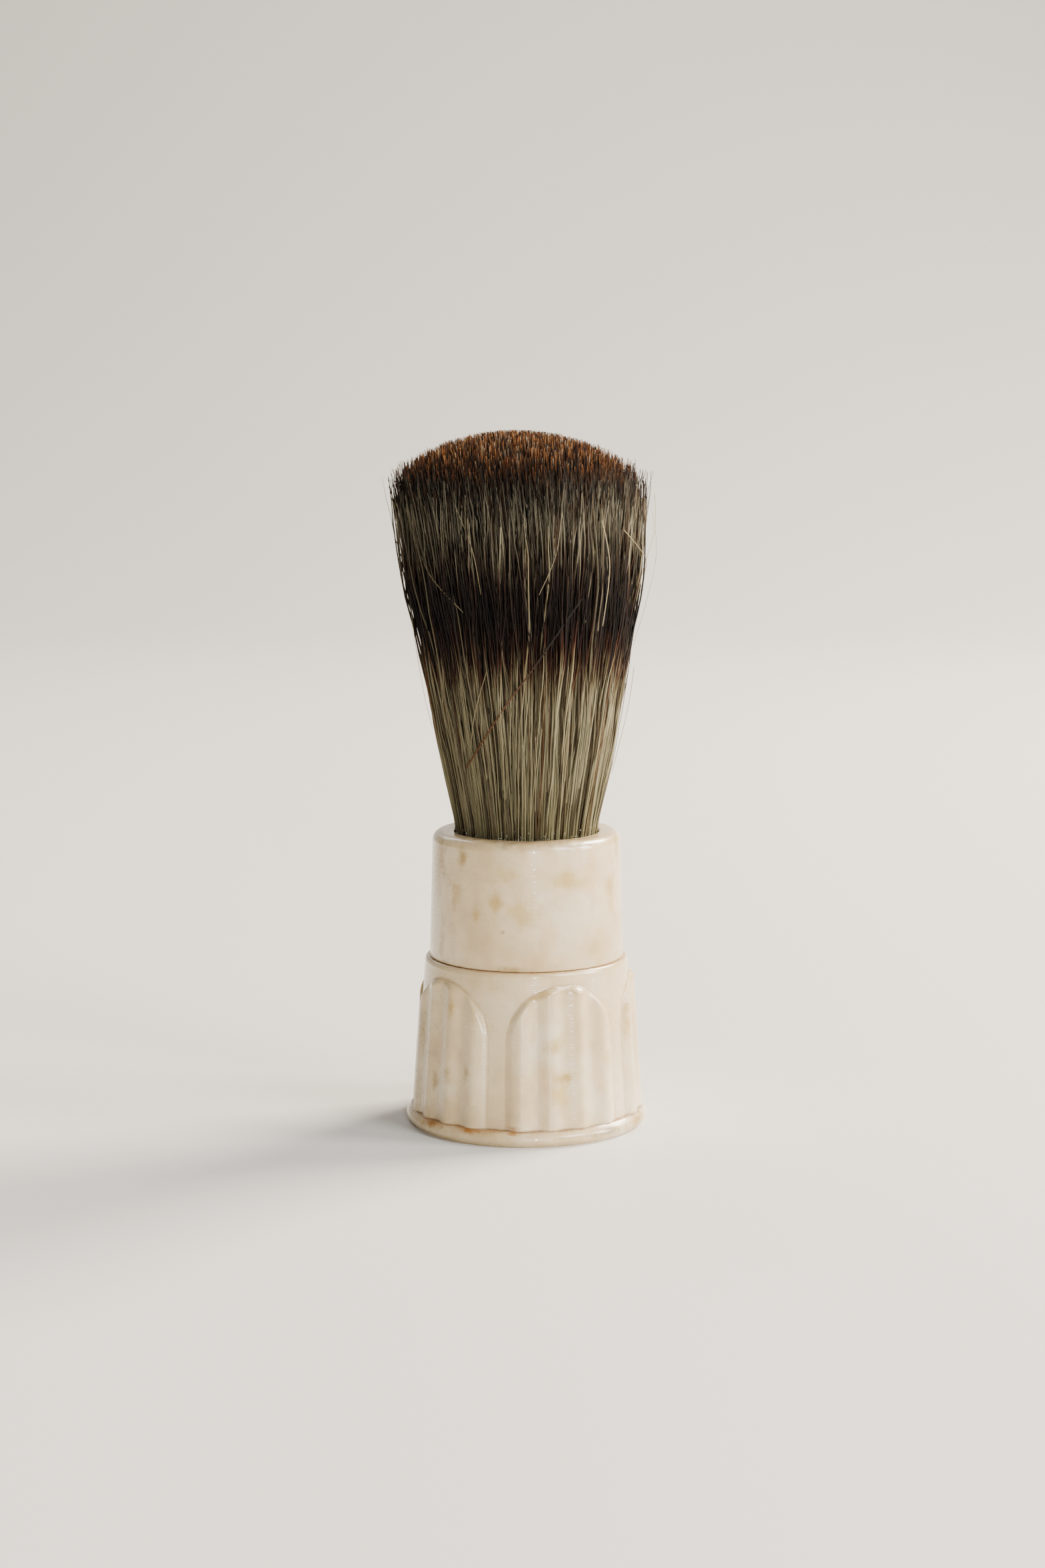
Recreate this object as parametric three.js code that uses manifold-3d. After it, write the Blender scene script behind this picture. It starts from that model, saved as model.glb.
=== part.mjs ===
import * as THREE from "three";
import { mergeVertices } from "three/addons/utils/BufferGeometryUtils.js";
import Module from "manifold-3d";

// A mid-century shaving brush that stands on its foot. Millimetres, +Z up, origin at the middle
// of the foot. From the bottom: a foot cap, a hollow fluted base, a collar that screws into the
// base with a washer between them, and a hair knot set in the collar's bore.

// ---- Driving dimensions -------------------------------------------------------------------

const fitGap = 0.3; // between pieces that touch, slide or screw
const faceGap = 0.3; // between faces that rest on each other

// Foot cap: a disc with a rounded bead, plugged into the base by a short spigot.
const footOverhang = 1.45;
const footBeadHeight = 2.45;
const footBeadBulge = 0.8;
const footRimWidth = 4.8;
const footRecessDepth = 1.0;
const footPlateThickness = 1.6;
const footSpigotHeight = 3.6;
const footSpigotWall = 1.8;

// Fluted base: a moulded shell whose skirt carries arched panels of upright reeds.
const baseTopHeight = 26.45;
const skirtFlare = 1.6;
const shoulderStep = 0.75;
const shoulderRadius = 0.9;
const shoulderInset = 0.5;
const skirtWall = 3.35;
const hollowDraft = 0.6;
const webThickness = 2.2;
const panelCount = 5;
const firstPanelAngle = 20.4;
const reedsPerPanel = 4;
const reedPitchAngle = 15.55;
const reedHeight = 0.8;
const archCrownDrop = 2.05;
const archRise = 8.4;
const archFade = 1.3;
const reedValley = 0.3;

// Screw joint: a coarse moulded thread on the collar's spigot, in a blind socket in the base.
const spigotRadius = 8.4;
const spigotLength = 8.5;
const spigotBore = 4.0;
const threadPitch = 3.0;
const threadHeight = 0.9;
const threadRootWidth = 1.7;
const threadCrestWidth = 0.9;
const threadTurns = 1.5;
const threadStart = 1.3;
const socketFloorGap = 0.7;
const washerThickness = 0.85;
const washerWidth = 3.4;

// Collar: a smooth ferrule, nearly straight, with a softly rounded mouth.
const collarHeight = 19.45;
const collarDraft = 0.5;
const collarEdgeRadius = 1.5;
const collarRimWidth = 2.0;

// Knot: hair bound with twine, its root set in a moulded plug that is cemented into the bore,
// the tips cut to a dome.
const heelRadius = 10.9;
const heelHeight = 8.0;
const twineDiameter = 1.0;
const twineTurns = 3;
const twineBed = 0.3;
const bindingDepth = 3.55;
const cementThickness = 0.8;
const hairPinch = 0.1;
const hairRimRadius = 19.5;
const hairLoft = 62.5;
const hairDomeRise = 6.0;
const hairBelly = 0.09;

// Facets.
const roundSegments = 60;
const footSegments = 72;
const reedColumns = 4;
const plainColumns = 2;
const archRows = 9;
const threadStepsPerTurn = 40;

// ---- Sizes worked out from the driving ones ------------------------------------------------

const degree = Math.PI / 180;
const fullTurn = 2 * Math.PI;

const skirtBottom = footBeadHeight + faceGap;
const archCrownHeight = baseTopHeight - archCrownDrop;
const archSpringHeight = archCrownHeight - archRise;
const collarBottom = baseTopHeight + faceGap;
const collarTop = collarBottom + collarHeight;

// The plug sets the bore, the bore sets the collar, and the collar sets the base under it.
const boreRadius = heelRadius + fitGap;
const collarTopRadius = boreRadius + collarRimWidth + collarEdgeRadius;
const collarFootRadius = collarTopRadius + collarDraft;
const skirtTopRadius = collarFootRadius + shoulderStep;
const skirtFootRadius = skirtTopRadius + skirtFlare;
const footRadius = skirtFootRadius + footOverhang;
const hollowRadius = skirtFootRadius - skirtWall;

const spigotBottom = collarBottom - spigotLength;
const socketFloor = spigotBottom - socketFloorGap;
const hollowCeiling = socketFloor - webThickness;
const socketRadius = spigotRadius + fitGap;
const threadZero = spigotBottom + threadStart;
const washerInner = spigotRadius + threadHeight + fitGap;
const washerOuter = washerInner + washerWidth;
const washerSeat = baseTopHeight - washerThickness - faceGap;

// The knot hangs down from the collar's mouth: twine, plug, cement, and the floor of the bore.
const bindingTop = collarTop - bindingDepth;
const hairBottom = bindingTop - twineTurns * twineDiameter;
const heelTop = hairBottom - faceGap;
const heelBottom = heelTop - heelHeight;
const cementTop = heelBottom - faceGap;
const cementBottom = cementTop - cementThickness;
const boreFloor = cementBottom - faceGap;
const twineInner = heelRadius - twineDiameter - twineBed;
const hairBoundRadius = twineInner - fitGap;
const hairMouthRadius = heelRadius - hairPinch;
const hairCrown = collarTop + hairLoft;
const hairRim = hairCrown - hairDomeRise;

// ---- Shape helpers -------------------------------------------------------------------------

const wasm = await Module();
wasm.setup();

// A profile of [radius, height] pairs, up the outside and down the inside, turned about Z.
// Angle 0 faces -Y and grows towards +X.
function turned(profile, segments) {
  const points = profile.map(([radius, height]) => new THREE.Vector2(radius, height));
  return new THREE.LatheGeometry(points, segments).rotateX(Math.PI / 2);
}

// The same profile with its first point repeated, for a section that closes on itself.
function turnedRing(profile, segments) {
  return turned([...profile, profile[0]], segments);
}

// One skin with shared corners, without the slivers that collapse where a profile meets the axis.
function sealed(geometry) {
  geometry.deleteAttribute("normal");
  geometry.deleteAttribute("uv");
  const merged = mergeVertices(geometry);
  const corners = merged.getIndex().array;
  const kept = [];
  for (let i = 0; i < corners.length; i += 3) {
    const [a, b, c] = corners.slice(i, i + 3);
    if (a !== b && b !== c && c !== a) {
      kept.push(a, b, c);
    }
  }
  merged.setIndex(kept);
  return merged;
}

function toSolid(geometry) {
  const skin = sealed(geometry);
  const vertProperties = new Float32Array(skin.getAttribute("position").array);
  const triVerts = new Uint32Array(skin.getIndex().array);
  return new wasm.Manifold(new wasm.Mesh({ numProp: 3, vertProperties, triVerts }));
}

function toGeometry(solid) {
  const { vertProperties, triVerts } = solid.getMesh();
  const geometry = new THREE.BufferGeometry();
  geometry.setAttribute("position", new THREE.BufferAttribute(new Float32Array(vertProperties), 3));
  geometry.setIndex(new THREE.BufferAttribute(new Uint32Array(triVerts), 1));
  geometry.computeVertexNormals();
  return geometry;
}

// A quarter-turn of rounding from the outer face of a wall to its flat top.
function roundedEdge(outerRadius, topHeight, inset, drop, steps) {
  const points = [];
  for (let i = 0; i <= steps; i++) {
    const angle = (i / steps) * (Math.PI / 2);
    const radius = outerRadius - inset * (1 - Math.cos(angle));
    points.push([radius, topHeight - drop * (1 - Math.sin(angle))]);
  }
  return points;
}

// A right-hand thread section wrapped round Z, growing outwards from a cylinder by its height.
// grow widens the section on every side, for the groove that a thread runs in.
function threadBody(firstTurn, lastTurn, grow) {
  const bite = 0.4;
  const inner = spigotRadius - bite;
  const outer = spigotRadius + threadHeight + grow;
  const rootHalf = threadRootWidth / 2 + grow;
  const crestHalf = threadCrestWidth / 2 + grow;
  const section = new THREE.Shape([
    new THREE.Vector2(inner, -rootHalf),
    new THREE.Vector2(spigotRadius, -rootHalf),
    new THREE.Vector2(outer, -crestHalf),
    new THREE.Vector2(outer, crestHalf),
    new THREE.Vector2(spigotRadius, rootHalf),
    new THREE.Vector2(inner, rootHalf),
  ]);
  const steps = Math.round((lastTurn - firstTurn) * threadStepsPerTurn);
  const body = new THREE.ExtrudeGeometry(section, { depth: 1, steps, bevelEnabled: false });
  const place = body.getAttribute("position");
  for (let i = 0; i < place.count; i++) {
    const radius = place.getX(i);
    const turn = lastTurn + (firstTurn - lastTurn) * place.getZ(i);
    const height = threadZero + place.getY(i) + threadPitch * turn;
    const angle = turn * fullTurn;
    place.setXYZ(i, radius * Math.sin(angle), -radius * Math.cos(angle), height);
  }
  return body;
}

// ---- Foot cap ------------------------------------------------------------------------------

function footCap() {
  const flatRadius = footRadius - footBeadBulge;
  const recessRadius = flatRadius - footRimWidth;
  const spigotOuter = hollowRadius - fitGap;
  const spigotInner = spigotOuter - footSpigotWall;
  const plateTop = footRecessDepth + footPlateThickness;
  const spigotTop = footBeadHeight + footSpigotHeight;
  const beadSteps = 6;
  const bead = [];
  for (let i = 0; i <= beadSteps; i++) {
    const rise = i / beadSteps;
    bead.push([flatRadius + footBeadBulge * Math.sin(rise * Math.PI), rise * footBeadHeight]);
  }
  return turned([
    [0, footRecessDepth],
    [recessRadius, footRecessDepth],
    [recessRadius, 0],
    ...bead,
    [spigotOuter, footBeadHeight],
    [spigotOuter, spigotTop],
    [spigotInner, spigotTop],
    [spigotInner, plateTop],
    [0, plateTop],
  ], footSegments);
}

// ---- Fluted base ---------------------------------------------------------------------------

const panelPitch = 360 / panelCount;
const panelHalfAngle = (reedsPerPanel * reedPitchAngle) / 2;
const panelColumns = reedsPerPanel * reedColumns + plainColumns;
const baseColumns = panelCount * panelColumns;

// Columns stand close together across the reeds and wide apart on the plain strip between panels.
function columnAngle(column) {
  const panel = Math.floor(column / panelColumns);
  const step = column - panel * panelColumns;
  const reedStep = Math.min(step, reedsPerPanel * reedColumns);
  const plainStep = step - reedStep;
  const plainPitch = (panelPitch - 2 * panelHalfAngle) / plainColumns;
  const across = reedStep * (reedPitchAngle / reedColumns) + plainStep * plainPitch;
  return firstPanelAngle + panel * panelPitch - panelHalfAngle + across;
}

// How far a panel stands out of the plain skirt, at an angle from its middle: reeds with soft
// valleys between them, cut off by a rounded edge all round the arch.
function reedRelief(angle, height) {
  const across = angle / panelHalfAngle;
  const up = Math.max(0, (height - archSpringHeight) / archRise);
  const inFromEdge = (1 - Math.hypot(across, up)) * archRise;
  const edge = Math.sin((THREE.MathUtils.clamp(inFromEdge / archFade, 0, 1) * Math.PI) / 2);
  const reed = (1 - Math.cos((fullTurn * (angle + panelHalfAngle)) / reedPitchAngle)) / 2;
  return reedHeight * THREE.MathUtils.lerp(reedValley, 1, reed) * edge;
}

function flutedBase() {
  const shoulderStart = baseTopHeight - shoulderRadius;
  const skirt = [[skirtFootRadius, skirtBottom]];
  for (let i = 0; i <= archRows; i++) {
    const height = THREE.MathUtils.lerp(archSpringHeight, archCrownHeight, i / archRows);
    const taper = (height - skirtBottom) / (shoulderStart - skirtBottom);
    skirt.push([THREE.MathUtils.lerp(skirtFootRadius, skirtTopRadius, taper), height]);
  }
  const shoulder = roundedEdge(skirtTopRadius, baseTopHeight, shoulderInset, shoulderRadius, 3);
  const shell = turnedRing([
    ...skirt,
    ...shoulder,
    [washerOuter + fitGap, baseTopHeight],
    [washerOuter + fitGap, washerSeat],
    [socketRadius, washerSeat],
    [socketRadius, socketFloor],
    [0, socketFloor],
    [0, hollowCeiling],
    [hollowRadius - hollowDraft, hollowCeiling],
    [hollowRadius, skirtBottom + footSpigotHeight],
    [hollowRadius, skirtBottom],
  ], baseColumns);

  const place = shell.getAttribute("position");
  const rows = place.count / (baseColumns + 1);
  for (let i = 0; i < place.count; i++) {
    const turn = columnAngle(Math.floor(i / rows) % baseColumns);
    const row = i % rows;
    const onSkirt = row < skirt.length || row === rows - 1;
    const nearestPanel = Math.round((turn - firstPanelAngle) / panelPitch);
    const fromMiddle = turn - firstPanelAngle - nearestPanel * panelPitch;
    const relief = onSkirt ? reedRelief(fromMiddle, place.getZ(i)) : 0;
    const radius = Math.hypot(place.getX(i), place.getY(i)) + relief;
    place.setXY(i, radius * Math.sin(turn * degree), -radius * Math.cos(turn * degree));
  }

  const turnsToMouth = (washerSeat - threadZero + threadRootWidth) / threadPitch;
  const groove = threadBody(-0.05, turnsToMouth, fitGap);
  return toGeometry(toSolid(shell).subtract(toSolid(groove)));
}

// ---- Collar and its washer -----------------------------------------------------------------

function washer() {
  const bottom = washerSeat + faceGap;
  return turnedRing([
    [washerInner, bottom],
    [washerOuter, bottom],
    [washerOuter, bottom + washerThickness],
    [washerInner, bottom + washerThickness],
  ], roundSegments);
}

function collar() {
  const edge = roundedEdge(collarTopRadius, collarTop, collarEdgeRadius, collarEdgeRadius, 5);
  const body = turnedRing([
    [spigotBore, spigotBottom],
    [spigotRadius, spigotBottom],
    [spigotRadius, collarBottom],
    [collarFootRadius, collarBottom],
    ...edge,
    [boreRadius, collarTop],
    [boreRadius, boreFloor],
    [spigotBore, boreFloor],
  ], roundSegments);
  return toGeometry(toSolid(body).add(toSolid(threadBody(0, threadTurns, 0))));
}

// ---- Knot ----------------------------------------------------------------------------------

function cementDisc() {
  return turned([
    [0, cementBottom],
    [heelRadius, cementBottom],
    [heelRadius, cementTop],
    [0, cementTop],
  ], roundSegments);
}

function heel() {
  const chamfer = 0.8;
  return turned([
    [0, heelBottom],
    [heelRadius - chamfer, heelBottom],
    [heelRadius, heelBottom + chamfer],
    [heelRadius, heelTop],
    [0, heelTop],
  ], roundSegments);
}

function binding() {
  const twineRadius = twineDiameter / 2;
  const profile = [[twineInner, hairBottom]];
  const arcSteps = 4;
  for (let turn = 0; turn < twineTurns; turn++) {
    const middle = hairBottom + (turn + 0.5) * twineDiameter;
    for (let i = 0; i <= arcSteps; i++) {
      const angle = (i / arcSteps - 0.5) * 0.8 * Math.PI;
      const radius = heelRadius - twineRadius + twineRadius * Math.cos(angle);
      profile.push([radius, middle + twineRadius * Math.sin(angle)]);
    }
  }
  profile.push([twineInner, bindingTop]);
  return turnedRing(profile, roundSegments);
}

// The knot flares from the collar's mouth to its rim, a little fuller than a straight cone.
function flare(share) {
  const fullness = share + hairBelly * Math.sin(Math.PI * share);
  return THREE.MathUtils.lerp(hairMouthRadius, hairRimRadius, fullness);
}

function hairKnot() {
  const flareSteps = 10;
  const domeSteps = 6;
  const profile = [
    [0, hairBottom],
    [hairBoundRadius, hairBottom],
    [hairBoundRadius, bindingTop],
  ];
  for (let i = 0; i <= flareSteps; i++) {
    const share = i / flareSteps;
    profile.push([flare(share), THREE.MathUtils.lerp(collarTop, hairRim, share)]);
  }
  const domeRadius = (hairRimRadius ** 2 + hairDomeRise ** 2) / (2 * hairDomeRise);
  const rimAngle = Math.asin(hairRimRadius / domeRadius);
  for (let i = domeSteps - 1; i >= 0; i--) {
    const angle = rimAngle * (i / domeSteps);
    const drop = domeRadius * (1 - Math.cos(angle));
    profile.push([domeRadius * Math.sin(angle), hairCrown - drop]);
  }
  return turned(profile, roundSegments);
}

// ---- Assembly ------------------------------------------------------------------------------

const agedIvoryPlastic = { color: 0xd9c9ae, roughness: 0.32, metalness: 0 };
const badgerHair = { color: 0x8a7c62, roughness: 0.75, metalness: 0 };
const hardRubber = { color: 0x2e2a27, roughness: 0.7, metalness: 0 };
const waxedTwine = { color: 0x9c8258, roughness: 0.85, metalness: 0 };
const fibreWasher = { color: 0x5a3c26, roughness: 0.8, metalness: 0 };
const settingCement = { color: 0x6f6453, roughness: 0.9, metalness: 0 };

const brush = new THREE.Group();

function addPart(name, geometry, finish) {
  const mesh = new THREE.Mesh(geometry, new THREE.MeshStandardMaterial(finish));
  mesh.name = name;
  brush.add(mesh);
}

addPart("foot_cap", footCap(), agedIvoryPlastic);
addPart("fluted_base", flutedBase(), agedIvoryPlastic);
addPart("cushion_washer", washer(), fibreWasher);
addPart("collar", collar(), agedIvoryPlastic);
addPart("setting_cement", cementDisc(), settingCement);
addPart("knot_heel", heel(), hardRubber);
addPart("knot_binding", binding(), waxedTwine);
addPart("hair_knot", hairKnot(), badgerHair);

export default brush;
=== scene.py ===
import math
import random

import bmesh
import bpy
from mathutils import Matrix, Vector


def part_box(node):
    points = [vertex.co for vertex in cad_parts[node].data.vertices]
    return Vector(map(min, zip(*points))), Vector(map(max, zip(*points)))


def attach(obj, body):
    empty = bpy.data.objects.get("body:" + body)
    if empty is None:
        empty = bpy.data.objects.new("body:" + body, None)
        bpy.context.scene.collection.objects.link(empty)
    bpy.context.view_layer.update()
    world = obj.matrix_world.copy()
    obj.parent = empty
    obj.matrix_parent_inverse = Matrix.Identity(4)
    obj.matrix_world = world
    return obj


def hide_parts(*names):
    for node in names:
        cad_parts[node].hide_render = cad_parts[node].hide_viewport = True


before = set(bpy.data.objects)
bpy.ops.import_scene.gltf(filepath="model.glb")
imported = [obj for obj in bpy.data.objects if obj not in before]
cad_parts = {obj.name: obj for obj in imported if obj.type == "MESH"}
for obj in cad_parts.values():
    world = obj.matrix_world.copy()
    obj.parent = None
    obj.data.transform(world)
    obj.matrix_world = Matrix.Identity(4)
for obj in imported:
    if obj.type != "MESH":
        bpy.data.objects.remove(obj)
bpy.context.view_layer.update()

# ---- Foot cap ----------------------------------------------------------------------------------
# The disc that closes the hollow base and carries the rounded bead that the brush stands on. It is
# compression moulded in ivory urea plastic, and years of wet shelves have browned its groove.

mm = 0.001
foot_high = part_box("foot_cap")[1]
base_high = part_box("fluted_base")[1]
foot_radius = foot_high[0]
bead_bulge = 0.8 * mm
bead_height = 2.45 * mm
foot_rim_width = 4.8 * mm
foot_recess = 1.0 * mm
foot_plate = 1.6 * mm
spigot_radius = 13.9 * mm
spigot_wall = 1.8 * mm


def srgb(code):
    """A hex colour as linear light with full alpha."""
    parts = [int(code[i : i + 2], 16) / 255 for i in (1, 3, 5)]
    linear = [c / 12.92 if c <= 0.04045 else ((c + 0.055) / 1.055) ** 2.4 for c in parts]
    return (*linear, 1.0)


def add_node(tree, kind, inputs=(), output=0, **settings):
    """Adds a node, sets it up, fills its inputs with values or links, and gives one of its outputs.
    The inputs are a list in the sockets' order, or a dictionary by their names or numbers."""
    node = tree.nodes.new(kind)
    for name, value in settings.items():
        setattr(node, name, value)
    for key, value in inputs.items() if isinstance(inputs, dict) else enumerate(inputs):
        if isinstance(value, bpy.types.NodeSocket):
            tree.links.new(value, node.inputs[key])
        else:
            node.inputs[key].default_value = value
    return node.outputs[output] if len(node.outputs) else None


def ramp(node_output, stops):
    """Sets the colour stops of a Color Ramp, given as (place, colour) pairs."""
    band = node_output.node.color_ramp
    while len(band.elements) > 1:
        band.elements.remove(band.elements[-1])
    band.elements[0].position, band.elements[0].color = stops[0]
    for place, colour in stops[1:]:
        band.elements.new(place).color = colour
    return node_output


def arc(centre, radius, start, stop, steps):
    """Points of a circular arc in (radius, height), angles in degrees from straight outwards."""
    turns = [math.radians(start + (stop - start) * i / steps) for i in range(steps + 1)]
    return [(centre[0] + radius * math.cos(a), centre[1] + radius * math.sin(a)) for a in turns]


def turned(name, profile, columns, closed=True):
    """A skin turned about Z from (radius, height) points that run up its outside and down its inside."""
    shape = bmesh.new()
    rings = []
    for radius, height in profile:
        if radius < 1e-9:
            rings.append([shape.verts.new((0, 0, height))])
            continue
        turns = [2 * math.pi * i / columns for i in range(columns)]
        rings.append([shape.verts.new((radius * math.sin(a), -radius * math.cos(a), height)) for a in turns])
    pairs = list(zip(rings, rings[1:]))
    if closed:
        pairs.append((rings[-1], rings[0]))
    for lower, upper in pairs:
        for i in range(columns):
            j = (i + 1) % columns
            corners = [lower[i % len(lower)], lower[j % len(lower)]]
            corners += [upper[j % len(upper)], upper[i % len(upper)]]
            corners = list(dict.fromkeys(corners))
            if len(corners) > 2:
                shape.faces.new(corners)
    return finished(name, shape)


def finished(name, shape):
    """Turns a bmesh into a smooth object at the origin, with its hard edges kept sharp."""
    mesh = bpy.data.meshes.new(name)
    shape.to_mesh(mesh)
    shape.free()
    mesh.shade_smooth()
    mesh.set_sharp_from_angle(angle=math.radians(35))
    piece = bpy.data.objects.new(name, mesh)
    bpy.context.scene.collection.objects.link(piece)
    return piece


def blank_material(name):
    """A material with an empty node tree, and the piece's own coordinates for its patterns."""
    material = bpy.data.materials.new(name)
    material.use_nodes = True
    tree = material.node_tree
    tree.nodes.clear()
    return material, tree, add_node(tree, "ShaderNodeTexCoord", output=3)


def ivory_urea_plastic(name, radius, stains, dirt_lines):
    """Moulded urea-formaldehyde: a hard, faintly translucent gloss that has yellowed. Tea-coloured
    stains soak into it in soft patches, and a few of the listed stains paint shade, wholly or in
    part. Odd ring scratches break up its highlights, soap dirt sits brown in its seams, and the brown
    in its creases is partly soap dirt and partly painted shade. A stain is its angle round the piece,
    height, half width, half height, strength and colour; a dirt line is its height, reach and strength."""
    material, tree, place = blank_material(name)
    cloud, streak, freckle, grit = 10.53 * mm, 4.76 * mm, 2.38 * mm, 1.786 * mm
    up = add_node(tree, "ShaderNodeSeparateXYZ", [place], output=2)
    clouds = {0: place, "Scale": 1 / cloud, "Detail": 3, "Roughness": 0.55}
    soft = add_node(tree, "ShaderNodeTexNoise", clouds)
    colour = ramp(
        add_node(tree, "ShaderNodeValToRGB", [soft]),
        [(0.32, srgb("#C4A97B")), (0.50, srgb("#D5BE93")), (0.70, srgb("#DFCEAD"))],
    )
    freckles = {0: place, "Scale": 1 / freckle, "Detail": 4, "Roughness": 0.62}
    mottle = add_node(tree, "ShaderNodeTexNoise", freckles)
    upright = add_node(tree, "ShaderNodeVectorMath", [place, (1, 1, 0.5)], operation="MULTIPLY")
    streaks = {0: upright, "Scale": 1 / streak, "Detail": 4, "Roughness": 0.6}
    old = add_node(tree, "ShaderNodeTexNoise", streaks)
    old = add_node(tree, "ShaderNodeMapRange", [old, 0.50, 0.68, 0.0, 0.6])
    colour = add_node(
        tree, "ShaderNodeMix", {0: old, 6: colour, 7: srgb("#C9A575")}, output=2, data_type="RGBA"
    )
    for turn, height, half_width, half_height, strength, tint in stains:
        angle = math.radians(turn)
        spot = (radius * math.sin(angle), -radius * math.cos(angle), height * mm)
        reach = (half_width * mm, half_width * mm, half_height * mm)
        apart = add_node(tree, "ShaderNodeVectorMath", [place, spot], operation="SUBTRACT")
        apart = add_node(tree, "ShaderNodeVectorMath", [apart, reach], operation="DIVIDE")
        far = add_node(tree, "ShaderNodeVectorMath", [apart], output=1, operation="LENGTH")
        far = add_node(tree, "ShaderNodeMath", [mottle, 3.0, far], operation="MULTIPLY_ADD")
        near = add_node(
            tree,
            "ShaderNodeMapRange",
            [far, 1.5, 3.1, min(1.0, 1.9 * strength), 0.0],
            interpolation_type="SMOOTHSTEP",
        )
        colour = add_node(
            tree, "ShaderNodeMix", {0: near, 6: colour, 7: srgb(tint)}, output=2, data_type="RGBA"
        )
    grime = {0: place, "Scale": 1 / grit, "Detail": 5, "Roughness": 0.65}
    grime = add_node(tree, "ShaderNodeTexNoise", grime)
    for height, reach, strength in dirt_lines:
        off = add_node(tree, "ShaderNodeMath", [up, height], operation="SUBTRACT")
        off = add_node(tree, "ShaderNodeMath", [off], operation="ABSOLUTE")
        near = add_node(tree, "ShaderNodeMapRange", [off, 0.0, reach, 1.0, 0.0])
        cover = add_node(tree, "ShaderNodeMath", [near, grime], operation="MULTIPLY")
        cover = add_node(tree, "ShaderNodeMapRange", [cover, 0.20, 0.52, 0.0, strength])
        colour = add_node(
            tree, "ShaderNodeMix", {0: cover, 6: colour, 7: srgb("#9A7046")}, output=2, data_type="RGBA"
        )
    # Brown in the reed valleys and along the arch outline: partly soap dirt, partly painted shade that
    # deepens the reeds' relief.
    crease = add_node(tree, "ShaderNodeAttribute", output=2, attribute_name="crease")
    crease_dirt_and_shade = add_node(tree, "ShaderNodeMath", [crease, grime], operation="MULTIPLY")
    crease_dirt_and_shade = add_node(tree, "ShaderNodeMapRange", [crease_dirt_and_shade, 0.22, 0.62, 0.0, 0.75])
    colour = add_node(
        tree, "ShaderNodeMix", {0: crease_dirt_and_shade, 6: colour, 7: srgb("#A98556")}, output=2, data_type="RGBA"
    )
    speckle = add_node(tree, "ShaderNodeMapRange", [grime, 0.3, 0.7, 0.93, 1.05])
    colour = add_node(tree, "ShaderNodeVectorMath", {0: colour, "Scale": speckle}, operation="SCALE")
    # Ring scratches, each worn away over part of its turn. The real ones are finer than these.
    scratch_spacing = 0.5 * mm
    rings = {"W": up, "Scale": 1 / scratch_spacing, "Detail": 1}
    rings = add_node(tree, "ShaderNodeTexNoise", rings, noise_dimensions="1D")
    rings = add_node(
        tree, "ShaderNodeMapRange", [rings, 0.52, 0.68, 0.0, 1.0], interpolation_type="SMOOTHSTEP"
    )
    worn = add_node(tree, "ShaderNodeMapRange", [soft, 0.35, 0.6, 0.2, 1.0])
    rings = add_node(tree, "ShaderNodeMath", [rings, worn], operation="MULTIPLY")
    scratched = add_node(tree, "ShaderNodeBump", {"Strength": 0.42, "Distance": 0.05 * mm, "Height": rings})
    relief = add_node(tree, "ShaderNodeMath", [mottle, 0.6, rings], operation="MULTIPLY_ADD")
    bump = add_node(tree, "ShaderNodeBump", {"Strength": 0.16, "Distance": 0.05 * mm, "Height": relief})
    dull = add_node(tree, "ShaderNodeMapRange", [mottle, 0.3, 0.7, 0.22, 0.36])
    shader = add_node(
        tree,
        "ShaderNodeBsdfPrincipled",
        {
            "Base Color": colour,
            "Roughness": dull,
            "IOR": 1.54,
            "Subsurface Weight": 0.2,
            "Subsurface Radius": (1.0, 0.72, 0.45),
            "Subsurface Scale": 1.0 * mm,
            "Coat Weight": 0.42,
            "Coat Roughness": 0.06,
            "Normal": bump,
            "Coat Normal": scratched,
        },
    )
    add_node(tree, "ShaderNodeOutputMaterial", [shader])
    return material


bead_flat = foot_radius - bead_bulge
recess_radius = bead_flat - foot_rim_width
bead_steps = 20
foot_columns = 240
bead = [
    (bead_flat + bead_bulge * math.sin(math.pi * i / bead_steps), bead_height * i / bead_steps)
    for i in range(bead_steps + 1)
]
plate_top = foot_recess + foot_plate
foot_profile = [
    (0, foot_recess),
    (recess_radius - 0.4 * mm, foot_recess),
    (recess_radius, foot_recess - 0.4 * mm),
    (recess_radius, 0.3 * mm),
    (recess_radius + 0.3 * mm, 0),
    *bead,
    (spigot_radius, bead_height),
    (spigot_radius, foot_high[2] - 0.4 * mm),
    (spigot_radius - 0.4 * mm, foot_high[2]),
    (spigot_radius - spigot_wall, foot_high[2]),
    (spigot_radius - spigot_wall, plate_top),
    (0, plate_top),
]
foot_cap = turned("foot_cap_shell", foot_profile, foot_columns, closed=False)
straw, ochre, tea = "#C0A25E", "#B4924E", "#A6884E"
dun, rust, umber = "#988562", "#A06828", "#603E2E"
foot_stains = [
    (-28, 2.3, 2.6, 0.5, 0.8, rust),
    (-52, 2.2, 2.2, 0.6, 0.7, rust),
    (-6, 2.4, 1.6, 0.4, 0.9, rust),
    (42, 1.6, 3.4, 0.8, 0.5, dun),
    (66, 1.2, 2.8, 1.2, 0.5, tea),
    (160, 1.4, 5.0, 1.0, 0.4, ochre),
    (-130, 1.8, 4.0, 0.8, 0.5, tea),
]
foot_cap.data.materials.append(
    ivory_urea_plastic("ivory_urea_foot", foot_radius, foot_stains, [(bead_height, 0.5 * mm, 0.85)])
)
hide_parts("foot_cap")
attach(foot_cap, "base")

# ---- Fluted base -------------------------------------------------------------------------------
# The hollow grip, compression moulded in the same ivory plastic. Five arched panels stand proud of
# its tapered skirt, each filled with four upright reeds. The collar screws into a socket in its top,
# whose wall is left plain, as the thread in it can't be seen.

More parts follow.
